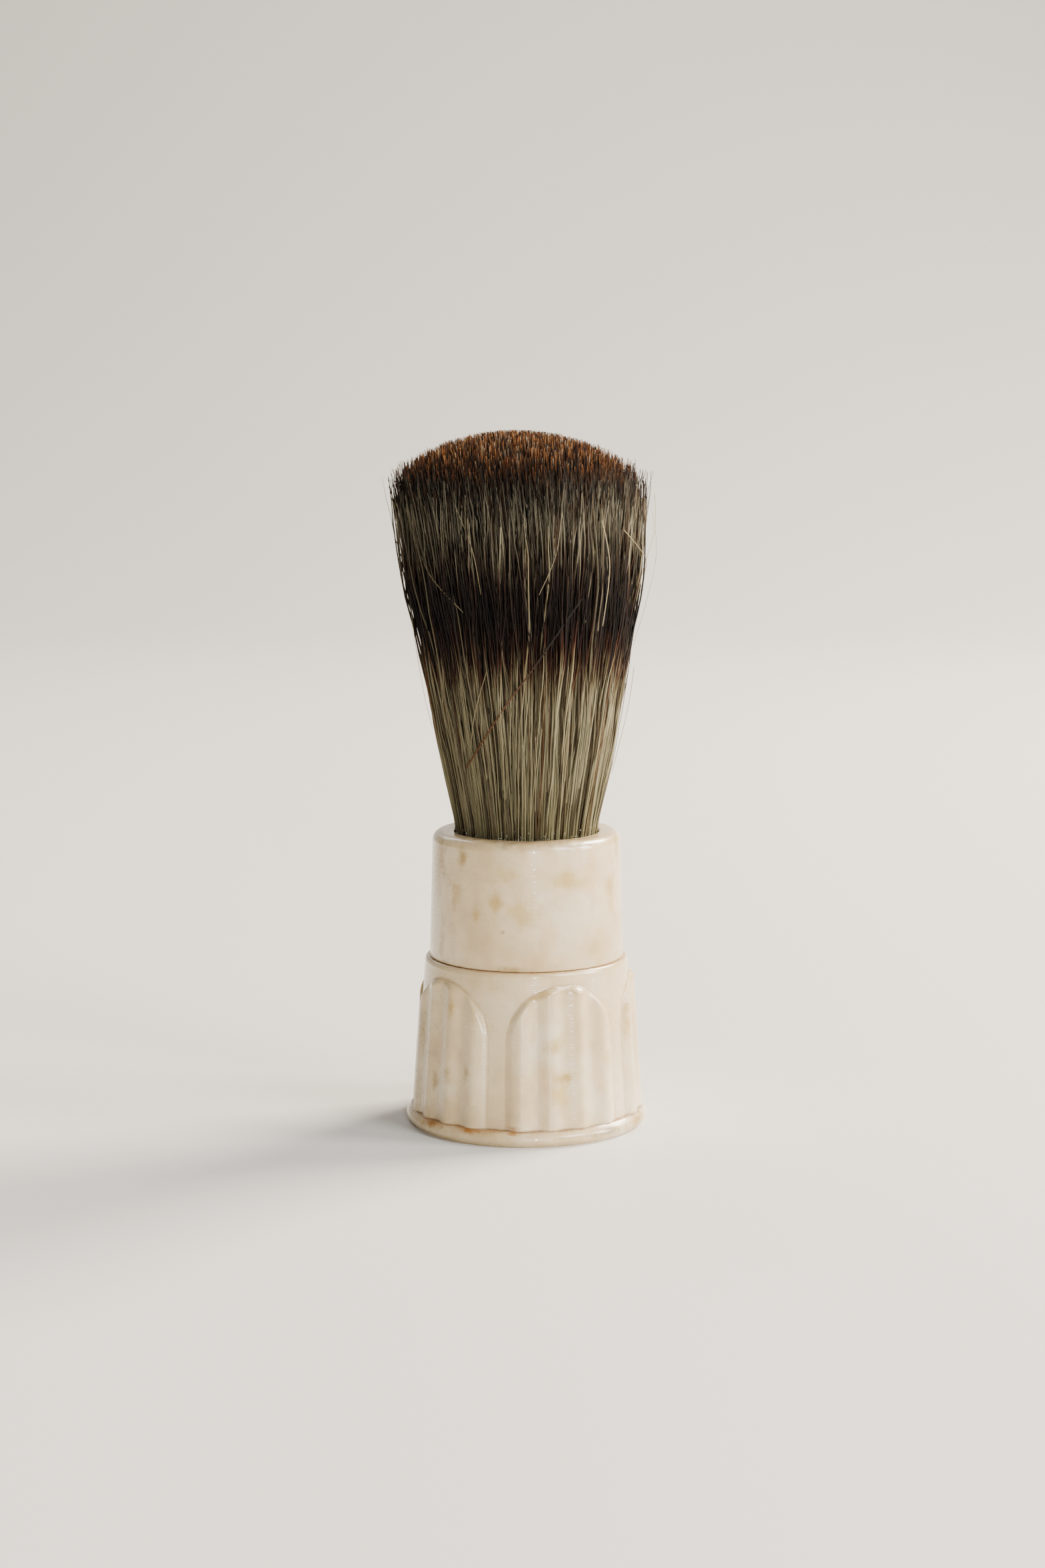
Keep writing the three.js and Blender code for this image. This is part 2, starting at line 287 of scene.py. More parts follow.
skirt_foot_radius = 17.55 * mm
skirt_top_radius = 15.95 * mm
shoulder_radius = 0.9 * mm
shoulder_inset = 0.5 * mm
hollow_radius = 14.2 * mm
hollow_draft = 0.6 * mm
hollow_ceiling = 15.35 * mm
socket_floor = 17.55 * mm
socket_radius = 8.7 * mm
washer_low, washer_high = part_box("cushion_washer")
clearance = 0.3 * mm
washer_pocket = washer_high[0] + clearance
washer_seat = washer_low[2] - clearance
base_columns = 480
skirt_rows = 84
seam = 0.02 * mm
skirt_foot = bead_height + seam


def applied(piece, inputs):
    """Runs a piece's node tree with these inputs and keeps the result as its plain mesh."""
    modifier = piece.modifiers[0]
    sockets = {item.name: item.identifier for item in modifier.node_group.interface.items_tree}
    for name, value in inputs.items():
        modifier[sockets[name]] = value
    graph = bpy.context.evaluated_depsgraph_get()
    result = bpy.data.meshes.new_from_object(piece.evaluated_get(graph))
    result.name = piece.name
    piece.modifiers.clear()
    piece.data = result


def reed_tree():
    """Moves the skirt outwards wherever a reed of an arched panel stands."""
    tree = bpy.data.node_groups.new("arched_reed_panels", "GeometryNodeTree")
    face = tree.interface
    face.new_socket("Skirt", in_out="INPUT", socket_type="NodeSocketGeometry")
    face.new_socket("Finish", in_out="INPUT", socket_type="NodeSocketMaterial")
    for name in (
        "Panels",
        "First panel",
        "Reeds",
        "Reed pitch",
        "Reed height",
        "Reed valley",
        "Arch spring",
        "Arch rise",
        "Arch edge",
    ):
        face.new_socket(name, in_out="INPUT", socket_type="NodeSocketFloat")
    face.new_socket("Skirt", in_out="OUTPUT", socket_type="NodeSocketGeometry")
    given = tree.nodes.new("NodeGroupInput").outputs
    place = add_node(tree, "GeometryNodeInputPosition")
    parts = add_node(tree, "ShaderNodeSeparateXYZ", [place]).node.outputs
    toward = add_node(tree, "ShaderNodeMath", [parts[1], -1], operation="MULTIPLY")
    turn = add_node(tree, "ShaderNodeMath", [parts[0], toward], operation="ARCTAN2")
    turn = add_node(tree, "ShaderNodeMath", [turn], operation="DEGREES")
    turn = add_node(tree, "ShaderNodeMath", [turn, given["First panel"]], operation="SUBTRACT")
    pitch = add_node(tree, "ShaderNodeMath", [360, given["Panels"]], operation="DIVIDE")
    half_pitch = add_node(tree, "ShaderNodeMath", [pitch, 0.5], operation="MULTIPLY")
    low_pitch = add_node(tree, "ShaderNodeMath", [half_pitch, -1], operation="MULTIPLY")
    local = add_node(tree, "ShaderNodeMath", [turn, half_pitch, low_pitch], operation="WRAP")
    width = [given["Reeds"], given["Reed pitch"]]
    width = add_node(tree, "ShaderNodeMath", width, operation="MULTIPLY")
    half = add_node(tree, "ShaderNodeMath", [width, 0.5], operation="MULTIPLY")
    across = add_node(tree, "ShaderNodeMath", [local, half], operation="DIVIDE")
    up = add_node(tree, "ShaderNodeMath", [parts[2], given["Arch spring"]], operation="SUBTRACT")
    up = add_node(tree, "ShaderNodeMath", [up, given["Arch rise"]], operation="DIVIDE")
    up = add_node(tree, "ShaderNodeMath", [up, 0], operation="MAXIMUM")
    outline = add_node(tree, "ShaderNodeCombineXYZ", [across, up])
    outline = add_node(tree, "ShaderNodeVectorMath", [outline], output=1, operation="LENGTH")
    inset = add_node(tree, "ShaderNodeMath", [1, outline], operation="SUBTRACT")
    inset = add_node(tree, "ShaderNodeMath", [inset, given["Arch rise"]], operation="MULTIPLY")
    edge = add_node(tree, "ShaderNodeMath", [inset, given["Arch edge"]], operation="DIVIDE", use_clamp=True)
    edge = add_node(tree, "ShaderNodeMath", [edge, math.pi / 2], operation="MULTIPLY")
    edge = add_node(tree, "ShaderNodeMath", [edge], operation="SINE")
    along = add_node(tree, "ShaderNodeMath", [local, half], operation="ADD")
    reed = add_node(tree, "ShaderNodeMath", [along, given["Reed pitch"]], operation="DIVIDE")
    reed = add_node(tree, "ShaderNodeMath", [reed, 2 * math.pi], operation="MULTIPLY")
    reed = add_node(tree, "ShaderNodeMath", [reed], operation="COSINE")
    reed = add_node(tree, "ShaderNodeMapRange", [reed, 1, -1, given["Reed valley"], 1])
    skirt = add_node(tree, "GeometryNodeInputNamedAttribute", {"Name": "skirt"})
    crest = add_node(tree, "ShaderNodeMath", [reed, edge], operation="MULTIPLY")
    crest = add_node(tree, "ShaderNodeMath", [crest, skirt], operation="MULTIPLY")
    step = add_node(tree, "ShaderNodeMath", [crest, given["Reed height"]], operation="MULTIPLY")
    flat = add_node(tree, "ShaderNodeCombineXYZ", [parts[0], parts[1]])
    outward = add_node(tree, "ShaderNodeVectorMath", [flat], operation="NORMALIZE")
    move = add_node(tree, "ShaderNodeVectorMath", {0: outward, "Scale": step}, operation="SCALE")
    # The arch outline and the reed valleys are marked for the plastic's brown film, which is partly soap
    # dirt and partly painted shade.
    rim = add_node(tree, "ShaderNodeMath", [inset], operation="ABSOLUTE")
    rim = add_node(tree, "ShaderNodeMapRange", [rim, 0, 0.45 * mm, 1, 0])
    valley = add_node(tree, "ShaderNodeMapRange", [reed, 0.3, 0.55, 0.45, 0])
    valley = add_node(tree, "ShaderNodeMath", [valley, edge], operation="MULTIPLY")
    crease = add_node(tree, "ShaderNodeMath", [rim, valley], operation="MAXIMUM")
    crease = add_node(tree, "ShaderNodeMath", [crease, skirt], operation="MULTIPLY")
    crease = {0: given["Skirt"], "Name": "crease", "Value": crease}
    geometry = add_node(tree, "GeometryNodeStoreNamedAttribute", crease)
    geometry = add_node(tree, "GeometryNodeSetPosition", {0: geometry, "Offset": move})
    geometry = add_node(tree, "GeometryNodeRealizeInstances", [geometry])
    geometry = add_node(tree, "GeometryNodeSetMaterial", {0: geometry, "Material": given["Finish"]})
    add_node(tree, "NodeGroupOutput", [geometry])
    return tree


shoulder_start = base_high[2] - shoulder_radius
skirt_profile = [
    (
        skirt_foot_radius + (skirt_top_radius - skirt_foot_radius) * i / skirt_rows,
        skirt_foot + (shoulder_start - skirt_foot) * i / skirt_rows,
    )
    for i in range(skirt_rows + 1)
]
shoulder = [
    (
        skirt_top_radius - shoulder_inset * (1 - math.cos(math.radians(10 * i))),
        base_high[2] - shoulder_radius * (1 - math.sin(math.radians(10 * i))),
    )
    for i in range(1, 10)
]
base_profile = [
    *skirt_profile,
    *shoulder,
    (washer_pocket, base_high[2]),
    (washer_pocket, washer_seat),
    (socket_radius, washer_seat),
    (socket_radius, socket_floor),
    (0, socket_floor),
    (0, hollow_ceiling),
    (hollow_radius - hollow_draft - 1.2 * mm, hollow_ceiling),
    (hollow_radius - hollow_draft, hollow_ceiling - 1.2 * mm),
    (hollow_radius, foot_high[2]),
    (hollow_radius, skirt_foot),
]
base_shell = turned("fluted_base_shell", base_profile, base_columns)
on_skirt = base_shell.data.attributes.new("skirt", "FLOAT", "POINT")
for vertex in base_shell.data.vertices:
    reach = math.hypot(vertex.co.x, vertex.co.y)
    on_skirt.data[vertex.index].value = float(
        reach > skirt_top_radius - 0.01 * mm and vertex.co.z < shoulder_start + 0.01 * mm
    )
base_stains = [
    # Broad and weak on the left side: partly yellowing, partly painted shade on the side away from the
    # light.
    (-88, 14.0, 9.0, 10.0, 0.3, dun),
    (-43, 20.3, 0.8, 1.6, 0.55, ochre),
    (-32, 10.8, 0.9, 1.2, 0.7, tea),
    (-44, 10.4, 0.8, 1.1, 0.4, ochre),
    (-18, 18.3, 0.9, 1.1, 0.4, straw),
    (15, 15.5, 2.0, 1.3, 0.55, straw),
    (19, 10.4, 1.3, 1.1, 0.7, ochre),
    (18, 7.8, 1.3, 1.9, 0.45, straw),
    (6, 23.3, 1.5, 1.1, 0.55, ochre),
    (27, 23.6, 1.2, 0.8, 0.5, tea),
    (36, 14.7, 0.6, 1.6, 0.4, straw),
    (46, 12.3, 1.2, 1.3, 0.35, straw),
    (4, 17.1, 0.7, 1.6, 0.4, straw),
    (-54, 8.3, 0.6, 1.7, 0.5, tea),
    (-70, 15.0, 1.0, 3.5, 0.5, tea),
    (66, 18.0, 1.2, 3.5, 0.4, ochre),
    (-24.5, 3.1, 0.35, 0.45, 1.0, umber),
    (-6.5, 2.9, 1.0, 0.35, 1.0, rust),
    (-42, 3.2, 0.6, 0.5, 0.9, rust),
    (-60, 3.8, 0.7, 0.6, 0.9, rust),
    (110, 9.0, 3.0, 3.0, 0.5, ochre),
    (150, 17.0, 2.6, 3.6, 0.5, straw),
    (-150, 12.0, 3.2, 2.4, 0.5, ochre),
    (-105, 20.0, 2.2, 2.0, 0.45, ochre),
]
base_plastic = ivory_urea_plastic(
    "ivory_urea_base",
    skirt_foot_radius,
    base_stains,
    [(skirt_foot, 0.55 * mm, 0.6), (base_high[2], 0.4 * mm, 0.6)],
)
base_shell.data.materials.append(base_plastic)
base_shell.modifiers.new("reeds", "NODES").node_group = reed_tree()
applied(
    base_shell,
    {
        "Finish": base_plastic,
        "Panels": 5.0,
        "First panel": 20.4,
        "Reeds": 4.0,
        "Reed pitch": 15.55,
        "Reed height": 0.8 * mm,
        "Reed valley": 0.3,
        "Arch spring": 16.0 * mm,
        "Arch rise": 8.4 * mm,
        "Arch edge": 0.9 * mm,
    },
)
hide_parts("fluted_base")
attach(base_shell, "base")

# ---- Cushion washer ----------------------------------------------------------------------------
# A flat ring punched from oiled leather-like fibre. It is pinched between base and collar when the
# joint is screwed home, and lifts off the base with the collar when it is undone.


def oiled_fibre():
    """Pressed vegetable fibre, dark with oil: matte, with short felted strands in its face."""
    material, tree, place = blank_material("oiled_fibre")
    strand = 0.625 * mm
    felt = {0: place, "Scale": 1 / strand, "Detail": 5, "Distortion": 1.5}
    felt = add_node(tree, "ShaderNodeTexNoise", felt)
    colour = ramp(
        add_node(tree, "ShaderNodeValToRGB", [felt]),
        [(0.3, srgb("#3A2517")), (0.6, srgb("#5E4028")), (0.8, srgb("#7A5A3C"))],
    )
    bump = add_node(tree, "ShaderNodeBump", {"Strength": 0.5, "Distance": 0.1 * mm, "Height": felt})
    shader = add_node(
        tree,
        "ShaderNodeBsdfPrincipled",
        {"Base Color": colour, "Roughness": 0.78, "IOR": 1.5, "Normal": bump},
    )
    add_node(tree, "ShaderNodeOutputMaterial", [shader])
    return material


def refinish(node, material):
    """Gives a carried-over part its own finish."""
    for place in bpy.data.objects[node].material_slots:
        place.material = material


refinish("cushion_washer", oiled_fibre())

# ---- Collar ------------------------------------------------------------------------------------
# The smooth ferrule that holds the knot. It is moulded in one with the threaded spigot below it and
# screws down into the base; its mouth is softly rounded where fingers and lather wear it.

collar_low, collar_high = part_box("collar")
collar_foot_radius = collar_high[0]
collar_foot = base_high[2] + seam
collar_top_radius = 14.7 * mm
collar_edge = 1.5 * mm
heel_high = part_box("knot_heel")[1]
cement_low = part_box("setting_cement")[0]
bore_radius = heel_high[0] + clearance
bore_floor = cement_low[2] - clearance
mouth_round = 0.5 * mm
spigot_core = 8.4 * mm
spigot_bore = 4.0 * mm
thread_pitch = 3.0 * mm
thread_height = 0.9 * mm
thread_root = 1.7 * mm
thread_crest = 0.9 * mm
thread_start = 1.3 * mm
thread_turns = 1.5
collar_columns = 240
spigot_rows = 76


def thread_rise(turn, height):
    """How far the thread stands out of the spigot, at an angle in turns and a height above its foot."""
    rise = 0.0
    for whole in range(-1, 3):
        along = turn + whole
        run_out = min(along, thread_turns - along) / 0.06
        if run_out <= 0:
            continue
        off = abs(height - thread_start - thread_pitch * along)
        slope = (thread_root / 2 - off) / ((thread_root - thread_crest) / 2)
        rise = max(rise, thread_height * min(1.0, max(0.0, slope)) * min(1.0, run_out))
    return rise


edge_centre = (collar_top_radius - collar_edge, collar_high[2] - collar_edge)
spigot_length = collar_foot - collar_low[2]
spigot_skin = [
    (spigot_core, collar_low[2] + spigot_length * i / spigot_rows) for i in range(spigot_rows + 1)
]
collar_profile = [
    (spigot_bore, collar_low[2]),
    *spigot_skin,
    (collar_foot_radius - 0.25 * mm, collar_foot),
    (collar_foot_radius - 0.07 * mm, collar_foot + 0.07 * mm),
    (collar_foot_radius, collar_foot + 0.25 * mm),
    *arc(edge_centre, collar_edge, 0, 90, 12),
    *arc((bore_radius + mouth_round, collar_high[2] - mouth_round), mouth_round, 90, 180, 6),
    (bore_radius, bore_floor),
    (spigot_bore, bore_floor),
]
collar_shell = turned("collar_shell", collar_profile, collar_columns)
for vertex in collar_shell.data.vertices:
    reach = math.hypot(vertex.co.x, vertex.co.y)
    if abs(reach - spigot_core) < 0.01 * mm and collar_low[2] < vertex.co.z < collar_foot - 0.1 * mm:
        turn = (math.atan2(vertex.co.x, -vertex.co.y) / (2 * math.pi)) % 1.0
        grown = (reach + thread_rise(turn, vertex.co.z - collar_low[2])) / reach
        vertex.co.x *= grown
        vertex.co.y *= grown
collar_stains = [
    # Broad and weak on the left side: partly yellowing, partly painted shade on the side away from the
    # light.
    (-88, 35.0, 8.0, 10.0, 0.3, dun),
    (-42, 43.9, 0.9, 2.2, 0.65, tea),
    (-65, 42.6, 1.8, 3.8, 0.5, tea),
    (-46.6, 37.5, 1.1, 2.0, 0.4, ochre),
    (-31, 35.5, 0.8, 1.5, 0.5, ochre),
    (-18, 37.1, 1.1, 1.7, 0.65, ochre),
    (-4.6, 35.3, 3.0, 2.0, 0.38, straw),
    (-9.6, 41.2, 2.0, 1.3, 0.3, straw),
    (21.5, 40.8, 1.5, 1.2, 0.6, straw),
    (31, 39.8, 2.3, 1.2, 0.42, straw),
    (61, 38.2, 1.4, 3.8, 0.6, ochre),
    (46, 29.4, 1.5, 2.0, 0.35, straw),
    (71, 43.5, 0.9, 2.5, 0.5, ochre),
    (-7.7, 26.9, 2.2, 0.5, 0.9, tea),
    (-60, 29.2, 1.0, 3.0, 0.55, tea),
    (-13.9, 32.6, 0.36, 0.36, 1.0, umber),
    (34, 45.5, 2.6, 0.2, 0.45, dun),
    (55, 43.2, 0.18, 1.7, 0.6, dun),
    (54, 35.2, 0.24, 0.3, 0.9, rust),
    # A brownish-grey band across the front of the rim, under the hair: painted shade.
    (3, 46.3, 9.0, 0.9, 0.5, dun),
    (105, 37.0, 2.6, 4.0, 0.5, ochre),
    (140, 31.0, 3.0, 2.2, 0.45, straw),
    (-110, 36.0, 2.2, 3.4, 0.5, ochre),
    (-160, 41.0, 3.0, 2.4, 0.45, ochre),
]
collar_shell.data.materials.append(
    ivory_urea_plastic(
        "ivory_urea_collar",
        collar_foot_radius,
        collar_stains,
        [(collar_foot, 0.4 * mm, 0.6), (collar_high[2] - 0.1 * mm, 0.5 * mm, 0.3)],
    )
)
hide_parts("collar")
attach(collar_shell, "collar")

# ---- Knot heel, cement and binding -------------------------------------------------------------
# Inside the collar the hair roots are set in a plug of hard vulcanised rubber, cemented to the floor
# of the bore and wrapped in waxed linen twine. All are hidden, and keep the fitted parts' shapes.


def vulcanised_rubber():
    """Hard rubber cast round the roots: nearly black, dull, with a fine pitted skin."""
    material, tree, place = blank_material("vulcanised_rubber")
    pit = 0.7 * mm
    pits = add_node(tree, "ShaderNodeTexVoronoi", {0: place, "Scale": 1 / pit})
    colour = ramp(
        add_node(tree, "ShaderNodeValToRGB", [pits]),
        [(0.1, srgb("#1E1B19")), (0.6, srgb("#322D29"))],
    )
    bump = add_node(tree, "ShaderNodeBump", {"Strength": 0.4, "Distance": 0.1 * mm, "Height": pits})
    shader = add_node(
        tree,
        "ShaderNodeBsdfPrincipled",
        {"Base Color": colour, "Roughness": 0.7, "IOR": 1.52, "Normal": bump},
    )
    add_node(tree, "ShaderNodeOutputMaterial", [shader])
    return material


def waxed_twine(strand):
    """Linen twine drawn through beeswax: straw brown, laid in slanting plies, with a low wax sheen."""
    material, tree, place = blank_material("waxed_twine")
    plies = add_node(
        tree,
        "ShaderNodeTexWave",
        {0: place, "Scale": 0.3 / strand, "Distortion": 2.5, "Detail": 3},
        bands_direction="DIAGONAL",
    )
    colour = ramp(
        add_node(tree, "ShaderNodeValToRGB", [plies]),
        [(0.2, srgb("#7A6238")), (0.7, srgb("#B49A66"))],
    )
    bump = add_node(tree, "ShaderNodeBump", {"Strength": 0.6, "Distance": 0.15 * mm, "Height": plies})
    shader = add_node(
        tree,
        "ShaderNodeBsdfPrincipled",
        {"Base Color": colour, "Roughness": 0.62, "IOR": 1.46, "Normal": bump},
    )
    add_node(tree, "ShaderNodeOutputMaterial", [shader])
    return material


def setting_cement():
    """Old setting cement under the plug: grey-brown, dull and lumpy where it squeezed out."""
    material, tree, place = blank_material("setting_cement")
    lump = 1.1 * mm
    lumps = add_node(tree, "ShaderNodeTexNoise", {0: place, "Scale": 1 / lump, "Detail": 4})
    colour = ramp(
        add_node(tree, "ShaderNodeValToRGB", [lumps]),
        [(0.3, srgb("#4E4436")), (0.56, srgb("#7B6E58")), (0.7, srgb("#A0957E"))],
    )
    bump = add_node(tree, "ShaderNodeBump", {"Strength": 0.7, "Distance": 0.2 * mm, "Height": lumps})
    shader = add_node(
        tree,
        "ShaderNodeBsdfPrincipled",
        {"Base Color": colour, "Roughness": 0.9, "IOR": 1.5, "Normal": bump},
    )
    add_node(tree, "ShaderNodeOutputMaterial", [shader])
    return material


refinish("setting_cement", setting_cement())
refinish("knot_heel", vulcanised_rubber())
refinish("knot_binding", waxed_twine(1.0 * mm))

# ---- Hair knot ---------------------------------------------------------------------------------
# Several thousand natural hairs, bound at the root and cut to a dome at the tips. Each hair is pale
# at its root, dark in a band above the middle, greyed above that, and brown with a straw cut tip.
# The brown near the top is partly painted shade inside the dome, and the tips' brightness is partly
# a painted glow of light through them.

hair_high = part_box("hair_knot")[1]
hair_mouth = collar_high[2]
mouth_radius = 10.8 * mm
rim_radius = hair_high[0] - 0.1 * mm
dome_rise = 6.0 * mm
crown_height = hair_high[2] - 0.5 * mm
knot_belly = 0.09
hair_width = 0.21 * mm
clump_width = 2.63 * mm
kink_length = 23.81 * mm
bend_spread = 3780 * kink_length  # the hairs' bends are drawn this far apart, so no two match


def hair_tree():
    """Grows hairs from the mouth: evenly spread roots, one curve for each hair, swept to thin tubes."""
    tree = bpy.data.node_groups.new("hair_bundle", "GeometryNodeTree")
    face = tree.interface
    face.new_socket("Finish", in_out="INPUT", socket_type="NodeSocketMaterial")
    for name in ("Hairs", "Hairs in whole knot", "Points", "Seed"):
        face.new_socket(name, in_out="INPUT", socket_type="NodeSocketInt")
    for name in (
        "First hair",
        "Foot height",
        "Mouth height",
        "Mouth radius",
        "Rim radius",
        "Crown height",
        "Dome rise",
        "Belly",
        "Hair width",
        "Clump drift",
        "Own bend",
        "Sideways splay",
        "Ragged rim",
        "Uneven tips",
        "Lean",
    ):
        face.new_socket(name, in_out="INPUT", socket_type="NodeSocketFloat")
    face.new_socket("Knot", in_out="OUTPUT", socket_type="NodeSocketGeometry")
    node = tree.nodes.new("NodeGroupInput")
    finish, count, whole, points, seed, first, foot, mouth, mouth_r = node.outputs[:9]
    rim_r, crown, dome, belly, width, clump, bend, splay, ragged, uneven, lean = node.outputs[9:20]

    # Roots on an even spiral, nudged about, with four random numbers kept on each hair.
    golden_turn = math.pi * (3 - math.sqrt(5))
    dots = add_node(tree, "GeometryNodePoints", {"Count": count})
    order = add_node(tree, "GeometryNodeInputIndex")
    order = add_node(tree, "ShaderNodeMath", [order, first], operation="ADD")
    root = add_node(tree, "ShaderNodeMath", [order, 0.5], operation="ADD")
    root = add_node(tree, "ShaderNodeMath", [root, whole], operation="DIVIDE")
    root = add_node(tree, "ShaderNodeMath", [root], operation="SQRT")
    turn = add_node(tree, "ShaderNodeMath", [order, golden_turn], operation="MULTIPLY")
    kept = {}
    for at, name in enumerate(("strand", "strand_b", "strand_c", "strand_d")):
        own_seed = add_node(tree, "ShaderNodeMath", [seed, 7 * at], operation="ADD")
        limits = {2: 0.0, 3: 1.0, "Seed": own_seed}
        kept[name] = add_node(tree, "FunctionNodeRandomValue", limits, output=1, data_type="FLOAT")
    kept["turn"] = add_node(tree, "ShaderNodeMath", [kept["strand_c"], 0.09, turn], operation="MULTIPLY_ADD")
    nudge = add_node(tree, "ShaderNodeMath", [kept["strand_d"], 0.7], operation="SUBTRACT")
    kept["root"] = add_node(tree, "ShaderNodeMath", [nudge, 0.04, root], operation="MULTIPLY_ADD")
    for name, value in kept.items():
        value = {0: dots, "Name": name, "Value": value}
        dots = add_node(tree, "GeometryNodeStoreNamedAttribute", value)
    line = add_node(tree, "GeometryNodeCurvePrimitiveLine", {"Start": (0, 0, 0), "End": (0, 0, 1)})
    line = add_node(tree, "GeometryNodeResampleCurve", {0: line, "Count": points})
    hairs = add_node(tree, "GeometryNodeInstanceOnPoints", {"Points": dots, "Instance": line})
    hairs = add_node(tree, "GeometryNodeRealizeInstances", [hairs])
    read = {name: add_node(tree, "GeometryNodeInputNamedAttribute", {"Name": name}) for name in kept}

    # Height of each point: foot to a domed top, outer hairs ending raggedly and odd ones short.
    place = add_node(tree, "GeometryNodeInputPosition")
    step = add_node(tree, "ShaderNodeSeparateXYZ", [place], output=2)
    round_off = add_node(tree, "ShaderNodeMath", [read["root"], 2.0], operation="POWER")
    round_off = add_node(tree, "ShaderNodeMath", [round_off, dome], operation="MULTIPLY")
    top = add_node(tree, "ShaderNodeMath", [crown, round_off], operation="SUBTRACT")
    outer = add_node(tree, "ShaderNodeMath", [read["root"], 9.0], operation="POWER")
    torn = add_node(tree, "ShaderNodeMath", [read["strand_c"], 1.5], operation="POWER")
    torn = add_node(tree, "ShaderNodeMath", [outer, torn], operation="MULTIPLY")
    torn = add_node(tree, "ShaderNodeMath", [torn, ragged], operation="MULTIPLY")
    top = add_node(tree, "ShaderNodeMath", [top, torn], operation="SUBTRACT")
    odd = add_node(tree, "ShaderNodeMath", [read["strand_b"], 3.0], operation="POWER")
    odd = add_node(tree, "ShaderNodeMath", [odd, uneven], operation="MULTIPLY")
    top = add_node(tree, "ShaderNodeMath", [top, odd], operation="SUBTRACT")
    length = add_node(tree, "ShaderNodeMath", [top, foot], operation="SUBTRACT")
    height = add_node(tree, "ShaderNodeMath", [step, length, foot], operation="MULTIPLY_ADD")
    loft = add_node(tree, "ShaderNodeMath", [crown, dome], operation="SUBTRACT")
    loft = add_node(tree, "ShaderNodeMath", [loft, mouth], operation="SUBTRACT")
    share = add_node(tree, "ShaderNodeMath", [height, mouth], operation="SUBTRACT")
    share = add_node(tree, "ShaderNodeMath", [share, loft], operation="DIVIDE", use_clamp=True)

    # Reach: a straight flare with a slight belly, each hair a little in or out of line.
    bow = add_node(tree, "ShaderNodeMath", [share, math.pi], operation="MULTIPLY")
    bow = add_node(tree, "ShaderNodeMath", [bow], operation="SINE")
    full = add_node(tree, "ShaderNodeMath", [bow, belly, share], operation="MULTIPLY_ADD")
    widening = add_node(tree, "ShaderNodeMath", [rim_r, mouth_r], operation="SUBTRACT")
    flare = add_node(tree, "ShaderNodeMath", [full, widening, mouth_r], operation="MULTIPLY_ADD")
    stray = add_node(tree, "ShaderNodeMath", [read["strand_d"], 0.75], operation="SUBTRACT")
    stray = add_node(tree, "ShaderNodeMath", [stray, share], operation="MULTIPLY")
    stray = add_node(tree, "ShaderNodeMath", [stray, 0.13, 1.0], operation="MULTIPLY_ADD")
    flare = add_node(tree, "ShaderNodeMath", [flare, stray], operation="MULTIPLY")
    reach = add_node(tree, "ShaderNodeMath", [flare, read["root"]], operation="MULTIPLY")
    sine = add_node(tree, "ShaderNodeMath", [read["turn"]], operation="SINE")
    cosine = add_node(tree, "ShaderNodeMath", [read["turn"]], operation="COSINE")
    forward = add_node(tree, "ShaderNodeMath", [cosine, -1.0], operation="MULTIPLY")
    out = add_node(tree, "ShaderNodeCombineXYZ", [sine, forward])
    out = add_node(tree, "ShaderNodeVectorMath", {0: out, "Scale": reach}, operation="SCALE")
    lift = add_node(tree, "ShaderNodeCombineXYZ", {2: height})
    spot = add_node(tree, "ShaderNodeVectorMath", [out, lift], operation="ADD")

    # Sideways: every hair crosses its neighbours, bends on its own and drifts with its clump.
    along = add_node(tree, "ShaderNodeCombineXYZ", [cosine, sine])
    aside = add_node(tree, "ShaderNodeMath", [read["strand_c"], 2.0], operation="MULTIPLY")
    aside = add_node(tree, "ShaderNodeMath", [aside, 1.0], operation="SUBTRACT")
    far = add_node(tree, "ShaderNodeMath", [aside], operation="ABSOLUTE")
    aside = add_node(tree, "ShaderNodeMath", [aside, far], operation="MULTIPLY")
    aside = add_node(tree, "ShaderNodeMath", [aside, splay], operation="MULTIPLY")
    opening = add_node(tree, "ShaderNodeMath", [share, 1.3], operation="POWER")
    aside = add_node(tree, "ShaderNodeMath", [aside, opening], operation="MULTIPLY")
    aside = add_node(tree, "ShaderNodeVectorMath", {0: along, "Scale": aside}, operation="SCALE")
    spot = add_node(tree, "ShaderNodeVectorMath", [spot, aside], operation="ADD")
    slow = add_node(tree, "ShaderNodeVectorMath", [spot, (1, 1, 0.1)], operation="MULTIPLY")
    waves = {"Vector": slow, "Scale": 1 / clump_width, "Detail": 2, "Roughness": 0.6}
    drift = add_node(tree, "ShaderNodeTexNoise", waves, output=1)
    drift = add_node(tree, "ShaderNodeVectorMath", [drift, (0.5, 0.5, 0.5)], operation="SUBTRACT")
    drift = add_node(tree, "ShaderNodeVectorMath", {0: drift, "Scale": clump}, operation="SCALE")
    own = add_node(tree, "ShaderNodeMath", [read["strand"], bend_spread], operation="MULTIPLY")
    waves = {"Vector": lift, "W": own, "Scale": 1 / kink_length, "Detail": 0}
    kink = add_node(tree, "ShaderNodeTexNoise", waves, output=1, noise_dimensions="4D")
    kink = add_node(tree, "ShaderNodeVectorMath", [kink, (0.5, 0.5, 0.5)], operation="SUBTRACT")
    kink = add_node(tree, "ShaderNodeVectorMath", {0: kink, "Scale": bend}, operation="SCALE")
    drift = add_node(tree, "ShaderNodeVectorMath", [drift, kink], operation="ADD")
    drift = add_node(tree, "ShaderNodeVectorMath", [drift, (1, 1, 0)], operation="MULTIPLY")
    freedom = add_node(tree, "ShaderNodeMath", [share, 0.14], operation="ADD")
    drift = add_node(tree, "ShaderNodeVectorMath", {0: drift, "Scale": freedom}, operation="SCALE")
    spot = add_node(tree, "ShaderNodeVectorMath", [spot, drift], operation="ADD")
